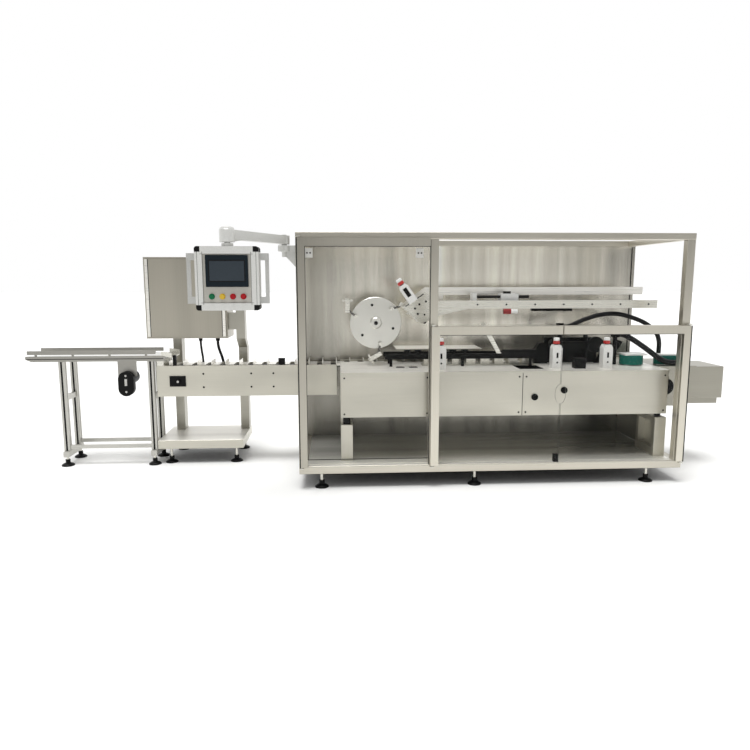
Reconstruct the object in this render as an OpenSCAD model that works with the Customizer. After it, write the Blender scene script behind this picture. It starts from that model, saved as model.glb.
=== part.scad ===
// Automatic cartoner: a glazed steel cabinet with a carton rotor and magazine, a flighted infeed,
// a belt conveyor on the left, a discharge on the right and a swivelling operator panel.
// Frame before centring: X right, Y away from the operator, Z up, zero at the cabinet's
// front left corner on the floor. Sizes in millimetres.

/* [Cabinet] */
// Width of the cabinet over its end posts
cab_w = 2400; // [2200:10:2800]
// Depth from the front plane to the mounting wall
cab_d = 800; // [720:5:900]
// Depth of the drive compartment behind the wall posts
drive_d = 220; // [150:10:400]
// Height of the frame's top face
cab_h = 1545; // [1480:5:1700]
// Square tube of the frame
tube = 50; // [40:1:60]
// Edge radius of the square tube
edge_r = 4; // [2:0.5:6]
// Height of the top rails
top_rail_h = 40; // [30:1:60]
// Left face of the middle post
mid_post_x = 793; // [740:1:850]
// Lower face of the middle rail
mid_rail_z = 942; // [900:1:980]
// Height of the bottom rails above the floor
foot_h = 90; // [70:1:110]
// Thickness of the sheet plates
sheet = 4; // [2:0.5:6]
// Radius of a foot's base
foot_r = 42; // [30:1:48]
// Radius of a foot's stud
stud_r = 9; // [6:1:14]

/* [Doors] */
// Thickness of a door's profile
door_t = 26; // [20:1:30]
// Air between the doors and the frame
door_air = 12; // [8:1:20]
// Width of a door's stile and rail
stile = 49; // [40:1:60]
// Thickness of the clear panes
pane_t = 6; // [4:1:10]
// Distance from a stile's outer edge to its hinge line
hinge_inset = 12; // [9:1:13]
// Radius of the hinge pins
pin_r = 6; // [4:0.5:8]
// Depth of the pins in the stiles
pin_reach = 25; // [15:1:40]
// Radial running clearance of pins and shafts
run_gap = 0.05; // [0.02:0.01:0.1]
// Gap between two neighbouring panes
pane_gap = 6; // [5:1:12]
// Half height of the finger eye
eye_h = 59; // [40:1:80]
// Half width of the finger eye
eye_w = 30; // [20:1:40]
// Height of the finger eye's middle over the floor
eye_z = 578; // [450:1:700]

/* [Bed] */
// Left end of the bed
bed_x0 = 257; // [240:1:300]
// Right end of the bed, back from the cabinet's right end
bed_end = 64; // [60:1:120]
// Front of the bed's box
bed_y = 100; // [80:1:140]
// Underside of the bed
bed_z0 = 420; // [380:1:460]
// Top of the bed's box
bed_z1 = 700; // [680:1:720]
// Side of a pillar under the bed
pillar = 74; // [60:1:90]
// Air between the pillars and the bed, filled by the adjusters
pillar_air = 49; // [30:1:80]
// Width of the pocket in the bed's top
pocket_w = 160; // [120:1:180]
// Depth of the pocket
pocket_d = 120; // [60:1:200]

/* [Infeed] */
// Length of the infeed trough outside the cabinet
infeed_len = 995; // [900:5:1100]
// Width of the infeed trough
infeed_w = 190; // [170:1:200]
// Height of the infeed's side panels
infeed_h = 213; // [180:1:240]
// Drop of the infeed's top edge below the bed's box
infeed_drop = 11; // [5:1:20]
// Pitch of the flights
flight_pitch = 95.25; // [76.2:0.01:127]
// Height of a flight over the panel's edge
flight_h = 30; // [20:1:60]
// Thickness of a flight
flight_t = 5; // [3:1:8]
// Width of a bucket between two flights
bucket_w = 58; // [40:1:66]
// Side of the main switch
switch_w = 108; // [80:1:130]
// Underside of the stand's base
base_z = 105; // [90:1:130]
// Thickness of the stand's base
base_t = 60; // [40:1:80]
// Length of the stand's base
base_w = 585; // [540:1:620]
// Depth of the stand's base
base_d = 460; // [420:1:520]
// Width of an upright
upright_w = 62; // [50:1:80]
// Underside of the control box
box_z = 856; // [830:1:900]
// Width of the control box
box_w = 571; // [500:1:620]
// Height of the control box
box_h = 572; // [450:1:650]
// Depth of the control box
box_d = 260; // [180:1:300]

/* [Belt conveyor] */
// Length of the belt conveyor
belt_len = 920; // [800:5:1000]
// Height of the belt's top face
belt_z = 758; // [750:1:780]
// Height of the belt's side frames
belt_frame_h = 36; // [30:1:45]
// Height of the guide rails over the belt
guide_h = 26; // [15:1:40]
// Air under the guide rails
guide_air = 11; // [6:1:20]
// Thickness of a side frame
belt_rail = 20; // [14:1:26]
// Side of the leg profile
leg = 40; // [30:1:44]
// Height of the belt conveyor's feet
leg_foot = 62; // [50:1:90]
// Radius of the drive's belt cover
cover_r = 52; // [40:1:60]

/* [Rotor] */
// Radius of the rotor's disc
disc_r = 170; // [150:1:180]
// Thickness of the rotor's disc
disc_t = 12; // [8:1:20]
// Height of the rotor's axis over the bed
rotor_rise = 283; // [275:1:300]
// Place of the rotor's axis from the bed's left end
rotor_off = 237; // [220:1:260]
// Front face of the disc, in front of the wall
disc_out = 366; // [340:1:380]
// Radius of the posts' circle
post_ring = 140; // [120:1:150]
// Length of the posts
post_len = 45; // [35:1:45]
// Length of the slanted rods
rod_len = 74; // [40:1:76]
// Radius of the rotor's shaft
shaft_r = 25; // [15:1:30]
// Radius of the bearing tube
bearing_r = 46; // [36:1:60]

/* [Magazine] */
// Front face of the front magazine plate, in front of the wall
mag_out = 470; // [450:1:490]
// Room between the two magazine plates
mag_room = 209; // [180:1:230]
// Thickness of the magazine plates
mag_t = 10; // [6:1:14]
// Lower edge of the front plate over the bed
mag_up = 379; // [360:1:400]
// Height of a magazine plate
mag_h = 52; // [40:1:60]
// Rise of the rear plate over the front plate
mag_rise = 84; // [70:1:100]
// Radius of the carrying bars
bar_r = 12; // [8:1:16]
// Thickness of the deck strips
deck_t = 10; // [6:1:14]

/* [Carton lane] */
// Height of the guide rails' underside over the bed
rail_up = 49; // [40:1:60]
// Height of a guide rail
rail_h = 33; // [20:1:40]
// Width of a guide rail
rail_w = 20; // [12:1:26]
// Height of a tower
tower_h = 151; // [120:1:200]
// Width of a tower
tower_w = 62; // [50:1:70]
// Depth of a tower
tower_d = 60; // [40:1:70]
// Length of the leaning adjuster's body
lean_h = 128; // [90:1:140]
// Width of the leaning adjuster's body
lean_w = 60; // [44:1:70]
// Depth of the leaning adjuster's body
lean_d = 44; // [36:1:54]
// Radius of a knob's red band
knob_r = 21; // [16:1:25]
// Radius of a side belt's drum
drum_r = 70; // [55:1:75]
// Height of the side belts
side_h = 62; // [40:1:70]

/* [Operator panel] */
// Length of the swing arm between its two axes
hmi_reach = 533; // [480:1:580]
// Direction of the arm at rest, from +X
hmi_dir = 242; // [235:1:250]
// Width of the panel box
hmi_w = 321; // [290:1:350]
// Height of the panel box
hmi_h = 323; // [300:1:340]
// Depth of the panel box
hmi_d = 90; // [70:1:110]
// Width of the panel's rim profile
hmi_rim = 40; // [30:1:44]
// Height of the arm's box tube
hmi_tube = 50; // [40:1:52]
// Lower face of the arm, below the frame's top
hmi_drop = 72; // [65:1:90]
// Radius of the arm's vertical pins
hmi_pin = 15; // [10:1:18]
// Width of the terminal
term_w = 214; // [180:1:220]
// Height of the terminal
term_h = 160; // [130:1:165]
// Reach of a button
button_h = 18; // [12:1:24]

/* [Discharge] */
// Length of the discharge beyond the bed's end
out_len = 522; // [480:1:580]
// Length of the guard box
guard_len = 247; // [200:1:280]
// Height of the guard box
guard_h = 216; // [180:1:240]
// Depth of the guard box
guard_d = 320; // [280:1:340]

/* [Hidden] */
$fn = 48;
weld = 0.3;
frame_z0 = foot_h;
frame_z1 = foot_h + tube;
top_z = cab_h - top_rail_h;
wall_y = cab_d - sheet;
back_y = cab_d + tube + drive_d;
bed_x1 = cab_w - bed_end;
bed_top = bed_z1 + sheet;
cover_y = bed_y - sheet;
seam_a = mid_post_x + tube / 2;
seam_b = 1398;
pocket_x = seam_b + 4;
lip = 12;
door_y0 = -door_air - door_t;
door_mid_y = -door_air - door_t / 2;
door_z0 = frame_z1 + 1;
left_top = top_z + 6;
low_top = mid_rail_z + tube;
left_x0 = 5;
left_x1 = mid_post_x - 5;
mid_x0 = mid_post_x + 7;
mid_x1 = (mid_x0 + cab_w - 5) / 2 - pane_gap / 2;
right_x0 = mid_x1 + pane_gap;
right_x1 = cab_w - 5;
pivot_t = 6;
pivot_air = 5;
infeed_x0 = -infeed_len;
infeed_x1 = bed_x0 - 25;
infeed_y1 = wall_y - 6;
infeed_y = infeed_y1 - infeed_w;
infeed_z = bed_z1 - infeed_drop;
infeed_z0 = infeed_z - infeed_h;
chain_t = 6;
chain_z = infeed_z - 11;
chain_y0 = infeed_y + 25;
chain_y1 = infeed_y1 - 25;
chain_x0 = infeed_x0 + 60;
chain_x1 = seam_b + 160;
groove_y = chain_y0 - 6;
base_x0 = infeed_x0 - 15;
base_x1 = base_x0 + base_w;
base_y0 = infeed_y;
base_y1 = base_y0 + base_d;
base_top = base_z + base_t;
upright_y = infeed_y1 + 40;
upright_t = 90;
box_x0 = infeed_x0 - 120;
box_x1 = box_x0 + box_w;
box_y = infeed_y1 + 40;
box_y1 = box_y + box_d;
belt_x1 = infeed_x0 + 55;
belt_x0 = belt_x1 - belt_len;
belt_y0 = infeed_y;
belt_y1 = infeed_y1 + 40;
belt_low = belt_z - belt_frame_h;
leg_xs = [belt_x0 + 212, base_x0 - leg - 6];
leg_ys = [belt_y0 + 2, belt_y1 - leg - 2];
drive_x = belt_x0 + 668;
rotor_x = bed_x0 + rotor_off;
rotor_z = bed_top + rotor_rise;
disc_y = wall_y - disc_out;
arm_deg = [42, 162, 282];
post_r = 12;
rod_r = 6;
rod_turn = -25;
head_turn = -72;
mag_y0 = wall_y - mag_out;
mag_y1 = mag_y0 + mag_t + mag_room;
mag_z = bed_top + mag_up;
mag_x0 = mid_post_x + 92;
mag_x1 = cab_w - tube;
mag_low = mag_z + mag_rise;
bar_xs = [mag_x0 + 295, mag_x0 + 755, mag_x0 + 1215];
lane_x0 = rotor_x + 56;
lane_y0 = mag_y0 + mag_t + 9;
lane_y1 = mag_y1 - 45;
rail_z = bed_top + rail_up;
tower_xs = [seam_a + 78, bed_x1 - 691, bed_x1 - 360];
tower_y = cover_y + 94;
slope = 35;
close_x = bed_x1 - 640;
lane_x1 = close_x - 136;
belt_a = bed_x1 - 207;
belt_b = bed_x1 + 25;
deck_y0 = mag_y0 - 6;
guard_y0 = mag_y0 + 34;
guard_y1 = guard_y0 + guard_d;
guard_z1 = bed_z1 - 15;
guard_z0 = guard_z1 - guard_h;
guard_x1 = bed_x1 + out_len;
guard_x0 = guard_x1 - guard_len;
hmi_z = cab_h - hmi_drop;
pivot_x = -65;
pivot_y = tube / 2 - 5;
head_x = pivot_x + hmi_reach * cos(hmi_dir);
head_y = pivot_y + hmi_reach * sin(hmi_dir);
head_r = 39;
hmi_front = head_y - hmi_d / 2 + 3;
hmi_top = hmi_z - 36;
hmi_low = hmi_top - hmi_h;
hmi_mid = (hmi_top + hmi_low) / 2;
face_y = hmi_front + 6;
low_y = face_y - button_h;
high_y = box_y1;
cord_sides = 10;
lead_z = 604;
lead_rise = (box_z - 20 - lead_z) / 232;
arch_r = 15;
arch_route = [[-576, 95, 251], [-546, 95, 251], [-516, 95, 261], [-486, 95, 274], [-451, 95, 290],
    [-411, 95, 305], [-366, 95, 319], [-316, 95, 330], [-266, 95, 336], [-216, 95, 336],
    [-166, 95, 329], [-116, 95, 316], [-66, 95, 299], [-21, 95, 280], [19, 95, 257], [54, 95, 230],
    [80, 95, 199], [95, 95, 164], [101, 95, 128], [101, 95, 92], [101, 95, 60]];
drop_r = 18;
drop_route = [[-216, 35, 201], [-191, 35, 201], [-166, 33, 194], [-144, 27, 182], [-122, 17, 168],
    [-100, 5, 152], [-78, -7, 135], [-56, -19, 118], [-34, -29, 100], [-12, -38, 82],
    [10, -46, 64], [32, -53, 48], [55, -58, 35], [80, -62, 26], [107, -64, 22], [134, -65, 21],
    [164, -65, 21]];
lead_r = 8;
lead_a_route = [[251, 70, 232], [251, 70, 214], [252, 70, 196], [254, 70, 176], [256, 70, 156],
    [259, 69, 136], [262, 67, 116], [264, 64, 96], [266, 60, 76], [267, 54, 56], [267, 47, 38],
    [267, 39, 22], [267, 30, 8], [267, 21, 0], [267, 10, 0]];
lead_b_r = 10;
lead_b_route = [[371, 80, 232], [371, 80, 214], [373, 80, 196], [377, 80, 176], [383, 79, 156],
    [390, 78, 136], [397, 76, 116], [403, 73, 96], [408, 68, 76], [411, 61, 56], [413, 53, 38],
    [414, 44, 22], [415, 35, 10], [415, 24, 2], [415, 12, 2]];
origin_x = (belt_x0 + guard_x1) / 2;
origin_y = (low_y + high_y) / 2;

module place() {
    translate([-origin_x, -origin_y, 0]) children();
}

// Box between two corners
module span(a, b) {
    translate(a) cube(b - a);
}

// Round bar along X, Y or Z from a start point
module bar_x(p, r, l) {
    translate(p) rotate([0, 90, 0]) cylinder(r = r, h = l);
}

module bar_y(p, r, l) {
    translate(p) rotate([-90, 0, 0]) cylinder(r = r, h = l);
}

module bar_z(p, r, l) {
    translate(p) cylinder(r = r, h = l);
}

// Rectangle with rounded corners
module soft(w, h, r) {
    translate([r, 0]) square([w - 2 * r, h]);
    translate([0, r]) square([w, h - 2 * r]);
    for (x = [r, w - r])
        for (y = [r, h - r])
            translate([x, y]) circle(r = r);
}

// Outline of a star knob with five lobes
module star(r) {
    circle(r = r * 0.55);
    for (i = [0 : 4])
        rotate(i * 72 + 18) translate([r * 0.68, 0]) circle(r = r * 0.32);
}

// Square profile with a slot in the middle of each side
module slotted(w) {
    slot = w / 5;
    difference() {
        soft(w, w, edge_r / 2);
        for (p = [[-1, 0.4], [0.86, 0.4], [0.4, -1], [0.4, 0.86]])
            translate([p[0] < 0 ? -1 : p[0] * w, p[1] < 0 ? -1 : p[1] * w])
                square([p[1] == 0.4 ? w * 0.14 + 1 : slot, p[0] == 0.4 ? w * 0.14 + 1 : slot]);
    }
}

// Tube with rounded edges along X, Y or Z from its low corner
module tube_x(p, l, w, h) {
    translate(p) rotate([90, 0, 90]) linear_extrude(l) soft(w, h, edge_r);
}

module tube_y(p, l, w, h) {
    translate(p + [0, l, 0]) rotate([90, 0, 0]) linear_extrude(l) soft(w, h, edge_r);
}

module tube_z(p, l, w, d) {
    translate(p) linear_extrude(l) soft(w, d, edge_r);
}

// Plate standing in the XZ plane, cut from an outline
module plate_xz(y, t, pts) {
    translate([0, y + t, 0]) rotate([90, 0, 0]) linear_extrude(t) polygon(pts);
}

// Plate standing in the YZ plane, cut from an outline
module plate_yz(x, t, pts) {
    translate([x, 0, 0]) rotate([90, 0, 90]) linear_extrude(t) polygon(pts);
}

// Levelling foot: a round pad, a dome and a threaded stud
module foot(p, h) {
    translate(p) rotate_extrude() polygon([
        [0, 0], [foot_r, 0], [foot_r, 7], [foot_r * 0.8, 13],
        [foot_r * 0.38, 21], [stud_r + 5, 23], [stud_r, 25], [stud_r, h], [0, h]]);
}

// Upright belt loop round two drums, seen from above a long round shape
module drum_pair(p, l, r, h) {
    bar_z(p + [r, 0, 0], r, h);
    bar_z(p + [l - r, 0, 0], r, h);
    span(p + [r, -r, 0], p + [l - r, r, h]);
}

// Adjuster knob: neck, red band, groove and white cap
module knob(k) {
    rotate_extrude() polygon([[0, 0], [knob_r * k * 0.6, 0], [knob_r * k * 0.6, 6 * k],
        [knob_r * k, 6 * k], [knob_r * k, 24 * k], [knob_r * k * 0.7, 24 * k],
        [knob_r * k * 0.7, 27 * k], [knob_r * k * 0.9, 27 * k], [knob_r * k * 0.9, 42 * k],
        [knob_r * k * 0.7, 46 * k], [0, 46 * k]]);
}

// Body of an adjuster with its chamfered top, from its foot's middle
module tower(w, d, h) {
    plate_xz(-d / 2, d, [[-w / 2, 0], [w / 2, 0], [w / 2, h - w / 3], [w / 3, h],
        [-w / 3, h], [-w / 2, h - w / 3]]);
}

// Direction of a route at one of its points
function heading(p, i) =
    let (d = p[min(i + 1, len(p) - 1)] - p[max(i - 1, 0)]) d / norm(d);

// One ring of points round a route, with its corners turned from the given side
function ring(p, i, r, side) =
    let (t = heading(p, i), c = cross(t, side), u = c / norm(c), w = cross(u, t))
    [for (k = [0 : cord_sides - 1])
        p[i] + r * (cos(360 * k / cord_sides) * u + sin(360 * k / cord_sides) * w)];

// A lead's route, stretched to the height of the control box
function hung(route) = [for (p = route) [p[0], p[1], p[2] * lead_rise]];

// Flexible tube along a route
module hose(p, r, side) {
    n = cord_sides;
    last = len(p) - 1;
    polyhedron(
        [for (i = [0 : last]) each ring(p, i, r, side)],
        concat([[for (k = [0 : n - 1]) n - 1 - k]], [[for (k = [0 : n - 1]) last * n + k]],
            [for (i = [0 : last - 1]) for (k = [0 : n - 1])
                [i * n + k, i * n + (k + 1) % n, (i + 1) * n + k]],
            [for (i = [0 : last - 1]) for (k = [0 : n - 1])
                [i * n + (k + 1) % n, (i + 1) * n + (k + 1) % n, (i + 1) * n + k]]));
}

// Long rails of the cabinet, bottom and top, and the middle rail
module frame_rails() {
    place() color([0.72, 0.7, 0.66]) {
        for (y = [0, cab_d, back_y - tube]) {
            tube_x([0, y, frame_z0], cab_w, tube, tube);
            tube_x([0, y, top_z], cab_w, tube, top_rail_h);
        }
        tube_x([mid_post_x + tube, 0, mid_rail_z], cab_w - mid_post_x - 2 * tube, tube, tube);
    }
}

// Cross rails between the long rails
module frame_ties() {
    place() color([0.72, 0.7, 0.66])
        for (x = [0, cab_w - tube])
            for (z = [[frame_z0, tube], [top_z, top_rail_h]]) {
                tube_y([x, tube, z[0]], cab_d - tube, tube, z[1]);
                tube_y([x, cab_d + tube, z[0]], drive_d - tube, tube, z[1]);
            }
}

// Upright posts: front corners, middle, wall and back corners
module frame_posts() {
    place() color([0.72, 0.7, 0.66]) {
        for (x = [0, mid_post_x, cab_w - tube])
            tube_z([x, 0, frame_z1], top_z - frame_z1, tube, tube);
        for (x = [0, cab_w - tube])
            for (y = [cab_d, back_y - tube])
                tube_z([x, y, frame_z1], top_z - frame_z1, tube, tube);
    }
}

// Levelling feet of the cabinet, the stand and the belt conveyor
module levelling_feet() {
    place() color([0.05, 0.05, 0.05]) {
        for (x = [136, cab_w * 0.454, cab_w - 207])
            for (y = [tube / 2 + 8, back_y - tube / 2])
                foot([x, y, 0], frame_z0);
        for (x = [base_x0 + 78, base_x1 - 55])
            for (y = [base_y0 + 50, base_y1 - 50])
                foot([x, y, 0], base_z);
        for (x = leg_xs)
            for (y = [belt_y0 + 4, belt_y1 - 4])
                foot([x + leg / 2, y, 0], leg_foot);
    }
}

// Drip tray that closes the cabinet's floor
module base_tray() {
    place() color([0.8, 0.8, 0.78])
        span([tube, tube, frame_z1 - sheet], [cab_w - tube, cab_d, frame_z1]);
}

// Mounting wall behind the working space
module back_wall() {
    place() color([0.66, 0.64, 0.6])
        span([0, wall_y, frame_z1], [cab_w, cab_d, top_z]);
}

// Closed drive compartment behind the wall, with three cover plates and their pulls
module rear_housing() {
    third = (cab_w - 2 * tube) / 3;
    place() color([0.7, 0.69, 0.66]) {
        span([tube, cab_d, frame_z1], [cab_w - tube, back_y - 2 * sheet, top_z]);
        for (i = [0 : 2]) {
            span([tube + i * third + 3, back_y - 2 * sheet, frame_z1 + 3],
                [tube + (i + 1) * third - 3, back_y - sheet, top_z - 3]);
            bar_y([tube + (i + 0.9) * third, back_y - sheet, cab_h / 2], 16, sheet);
        }
    }
}

// Bed box with a groove for the bucket chain and a pocket for the leaflet feed
module bed_housing() {
    place() color([0.74, 0.72, 0.68])
        difference() {
            span([bed_x0, bed_y, bed_z0], [bed_x1, wall_y, bed_z1]);
            span([bed_x0 - 1, groove_y, chain_z - chain_t], [bed_x1 + 1, chain_y1 + 6, bed_z1 + 1]);
            span([pocket_x, tower_y - 5, bed_z1 - pocket_d],
                [pocket_x + pocket_w, lane_y0 + 35, bed_z1 + 1]);
        }
}

// Front covers, the slotted top cover with its front lip, and the shelf over the chain at the wall
module bed_covers() {
    seams = [bed_x0, seam_a, seam_b, bed_x1];
    place() color([0.76, 0.74, 0.7]) {
        span([rotor_x + 150, lane_y1 + 45, rail_z + rail_h + 8],
            [seam_b - 160, wall_y, rail_z + rail_h + 8 + sheet]);
        for (i = [0 : 2])
            span([seams[i] + 1, cover_y, bed_z0 + 1], [seams[i + 1] - 1, bed_y, bed_z1 - 9]);
        difference() {
            union() {
                span([bed_x0, cover_y - lip, bed_z1], [bed_x1, groove_y, bed_top]);
                span([bed_x0, cover_y - lip, bed_z1 - 8], [bed_x1, cover_y - lip + 3, bed_z1 + 1]);
            }
            span([pocket_x, tower_y - 5, bed_z1 - 1], [pocket_x + pocket_w, lane_y0 + 35, bed_top + 1]);
            for (x = [seam_a - 188, seam_a - 118])
                span([x, lane_y0 + 23, bed_z1 - 1], [x + 33, lane_y0 + 33, bed_top + 1]);
        }
    }
}

// Two box pillars on the left and the open-sided end box on the right
module bed_pillars() {
    place() color([0.78, 0.77, 0.74]) {
        for (y = [bed_y + 10, wall_y - 156])
            tube_z([bed_x0, y, frame_z1], bed_z0 - pillar_air - frame_z1, pillar, pillar);
        difference() {
            span([bed_x1 - 69, bed_y, frame_z1], [bed_x1 + sheet, bed_y + 250, bed_z0 - 25]);
            span([bed_x1 - 70, bed_y + 30, frame_z1 + 50], [bed_x1 - 25, bed_y + 220, bed_z0 - 60]);
        }
    }
}

// Height adjusters under the bed, the drive's shaft ends on its front and the lower doors' stop
module bed_adjusters() {
    place() color([0.12, 0.12, 0.12]) {
        for (y = [bed_y + 10, wall_y - 156])
            bar_z([bed_x0 + pillar / 2, y + pillar / 2, bed_z0 - pillar_air], 24, pillar_air);
        for (y = [bed_y + 50, bed_y + 200])
            bar_z([bed_x1 - 32, y, bed_z0 - 25], 20, 25);
        for (p = [[seam_b + 78, bed_z1 - 162], [seam_b + 265, bed_z1 - 120]]) {
            bar_y([p[0], cover_y - 7, p[1]], 21, 7);
            bar_y([p[0], cover_y - 12, p[1]], 11, 6);
        }
        tube_z([mid_x1 - 12, 6, frame_z1], 50, 30, 30);
        intersection() {
            bar_y([bed_x1, bed_y + 26, bed_z1 - 110], bed_end - 10, 18);
            span([bed_x1, bed_y, bed_z0], [cab_w, bed_y + 60, bed_z1]);
        }
    }
}

// Trough of the infeed: body and side panels
module infeed_trough() {
    place() color([0.76, 0.74, 0.7]) {
        span([infeed_x0 + 2, infeed_y + 1, infeed_z0 + 4],
            [infeed_x1 - 2, infeed_y1 - 1, chain_z - chain_t]);
        for (y = [infeed_y, infeed_y1 - sheet])
            span([infeed_x0, y, infeed_z0], [infeed_x1, y + sheet, infeed_z]);
    }
}

// Bucket chain with its buckets and flights
module infeed_chain() {
    count = floor((chain_x1 - chain_x0 - 40) / flight_pitch);
    place() color([0.8, 0.8, 0.78]) {
        span([chain_x0, chain_y0, chain_z - chain_t], [chain_x1, chain_y1, chain_z]);
        for (i = [0 : count])
            translate([chain_x0 + 20 + i * flight_pitch, 0, chain_z + weld]) {
                span([0, chain_y0, 0], [flight_t, chain_y1, infeed_z + flight_h - chain_z]);
                span([flight_t + weld, chain_y0, 0], [bucket_w, chain_y1, infeed_z + 3 - chain_z]);
            }
    }
}

// Main switch on the infeed's front and the two sensors on its edge
module infeed_switch() {
    sx = infeed_x0 + 86;
    sz = infeed_z0 + 70;
    place() color([0.05, 0.05, 0.05]) {
        span([sx, infeed_y - 8, sz], [sx + switch_w, infeed_y, sz + switch_w * 0.67]);
        bar_y([sx + 59, infeed_y - 24, sz + 36], 14, 17);
        span([infeed_x0 + 827, infeed_y - 3, infeed_z], [infeed_x0 + 872, infeed_y + 22, infeed_z + 47]);
        span([infeed_x0 + 112, infeed_y - 2, infeed_z], [infeed_x0 + 134, infeed_y + 18, infeed_z + 72]);
    }
}

// Base box of the infeed's stand
module stand_base() {
    place() color([0.78, 0.77, 0.74])
        tube_x([base_x0, base_y0, base_z], base_w, base_d, base_t);
}

// Leaning uprights that carry the infeed and the control box
module stand_uprights() {
    uy = upright_y + 110;
    fy = upright_y + 20;
    step = box_z - 76;
    arm_z = infeed_z0 + 24;
    left = base_x0 + 50;
    right = base_x1 - upright_w;
    place() color([0.72, 0.71, 0.68]) {
        span([left, uy, base_top], [left + upright_w, uy + upright_t, box_z]);
        span([right, uy, base_top], [right + upright_w, uy + upright_t, step]);
        plate_yz(right, upright_w, [[uy, step + weld], [uy + upright_t, step + weld],
            [fy + upright_t, box_z - 6], [fy, box_z - 6]]);
        span([right, fy, box_z - 6 + weld], [right + upright_w, fy + upright_t, box_z + 235]);
        for (x = [left, right])
            span([x, infeed_y1, arm_z], [x + upright_w, uy - weld, arm_z + 140]);
        span([box_x1, fy + 10, box_z + 60], [right - weld, fy + upright_t - 10, box_z + 180]);
    }
}

// Control box over the stand: body, folded lip, door and lock
module control_box() {
    place() color([0.74, 0.73, 0.7]) {
        span([box_x0, box_y, box_z], [box_x1, box_y1, box_z + box_h]);
        span([box_x0 + 12, box_y - 14, box_z + 14], [box_x1 - 12, box_y + 1, box_z + box_h - 14]);
        bar_y([box_x1 - 40, box_y - 20, box_z + box_h / 2], 11, 8);
    }
}

// Side frames of the belt conveyor with guide rails and the plate for the drive
module belt_frames() {
    place() color([0.75, 0.74, 0.71]) {
        for (y = [belt_y0, belt_y1 - belt_rail]) {
            plate_xz(y, belt_rail, [[belt_x0, belt_low + 16], [belt_x0 + 40, belt_low], [belt_x1, belt_low],
                [belt_x1, belt_z], [belt_x0, belt_z]]);
            span([belt_x0 + 10, y + 6, belt_z + guide_air],
                [belt_x1 - 60, y + belt_rail - 6, belt_z + guide_air + guide_h]);
            for (i = [0 : 3])
                translate([belt_x0 + 60 + i * (belt_len - 190) / 3, y + 7, belt_z - 1])
                    cube([14, belt_rail - 14, guide_air + 2]);
        }
        span([drive_x - 62, belt_y0 + 2, belt_low - 102], [drive_x + 63, belt_y0 + 10, belt_low + 1]);
    }
}

// Closed belt loop on its end rollers
module belt_loop() {
    r = belt_frame_h / 2 - 4;
    place() color([0.9, 0.9, 0.88]) {
        for (x = [belt_x0 + r + 6, belt_x1 - r - 6])
            bar_y([x, belt_y0 + belt_rail, belt_z - r], r, belt_y1 - belt_y0 - 2 * belt_rail);
        span([belt_x0 + r + 6, belt_y0 + belt_rail, belt_z - 2 * r],
            [belt_x1 - r - 6, belt_y1 - belt_rail, belt_z]);
    }
}

// Legs of the belt conveyor on foot beams, with ties and stretchers
module belt_legs() {
    beam_z = leg_foot + leg;
    place() color([0.78, 0.77, 0.74]) {
        for (x = leg_xs) {
            for (y = leg_ys)
                translate([x, y, beam_z + weld]) linear_extrude(belt_low - beam_z - weld)
                    slotted(leg);
            tube_y([x, belt_y0 - 16, leg_foot], belt_y1 - belt_y0 + 32, leg, leg);
            span([x + 8, leg_ys[0] + leg + weld, belt_low - 272],
                [x + leg - 8, leg_ys[1] - weld, belt_low - 236]);
        }
        for (y = leg_ys)
            span([leg_xs[0] + leg + weld, y + 8, beam_z + 14],
                [leg_xs[1] - weld, y + leg - 8, beam_z + 38]);
    }
}

// Gearmotor under the belt's front frame with its round-ended belt cover
module belt_drive() {
    cz = belt_low - 150;
    place() color([0.06, 0.06, 0.06]) {
        for (z = [cz - 32, cz + 32])
            bar_y([drive_x, belt_y0 - 40, z], cover_r, 42);
        span([drive_x - cover_r, belt_y0 - 40, cz - 32], [drive_x + cover_r, belt_y0 + 2, cz + 32]);
        bar_y([drive_x, belt_y0 + 10, cz + 30], 44, 120);
    }
}

// Chute from the belt's end to the flights, with the blocks that tie belt and infeed
module transfer_chute() {
    place() color([0.8, 0.8, 0.78]) {
        for (y = [[infeed_y, belt_y0 + belt_rail], [infeed_y1 - sheet, belt_y1]])
            span([infeed_x0 + 5, y[0], infeed_z], [belt_x1 - 5, y[1], belt_low]);
        plate_xz(belt_y0 + 2, belt_y1 - belt_y0 - 4, [[belt_x1, belt_z - 4], [belt_x1, belt_z],
            [belt_x1 + 50, belt_z - 12], [belt_x1 + 50, belt_z - 16]]);
        for (y = [belt_y0 + 2, belt_y1 - 6])
            plate_xz(y, 4, [[belt_x1 - 20, belt_z + weld], [belt_x1, belt_z + weld],
                [belt_x1 + 50, belt_z - 11],
                [belt_x1 + 50, belt_z + 20], [belt_x1 - 20, belt_z + 30]]);
    }
}

// Bearing tube on the wall
module rotor_bearing() {
    run = wall_y - disc_y - disc_t - 30;
    place() color([0.6, 0.6, 0.6])
        difference() {
            union() {
                bar_y([rotor_x, wall_y - run, rotor_z], bearing_r, run - 16 - weld);
                bar_y([rotor_x, wall_y - 16, rotor_z], bearing_r + 44, 16);
            }
            bar_y([rotor_x, disc_y, rotor_z], shaft_r + run_gap, wall_y - disc_y - 6);
        }
}

// Rotor disc with chamfered rim, hub, shaft and three screws
module rotor_disc() {
    tail = wall_y - disc_y - 21;
    place() color([0.82, 0.81, 0.79])
        translate([rotor_x, disc_y, rotor_z]) {
            rotate([-90, 0, 0]) rotate_extrude() polygon([[0, -22], [16, -22], [16, -26], [31, -26],
                [38, -19], [38, 0], [disc_r - 3, 0], [disc_r, 3], [disc_r, disc_t], [shaft_r, disc_t],
                [shaft_r, tail], [0, tail]]);
            for (a = arm_deg)
                rotate([0, -a - 60, 0]) translate([post_ring - 20, 0, 0])
                    rotate([90, 0, 0]) cylinder(r = 9, h = 7);
        }
}

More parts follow.
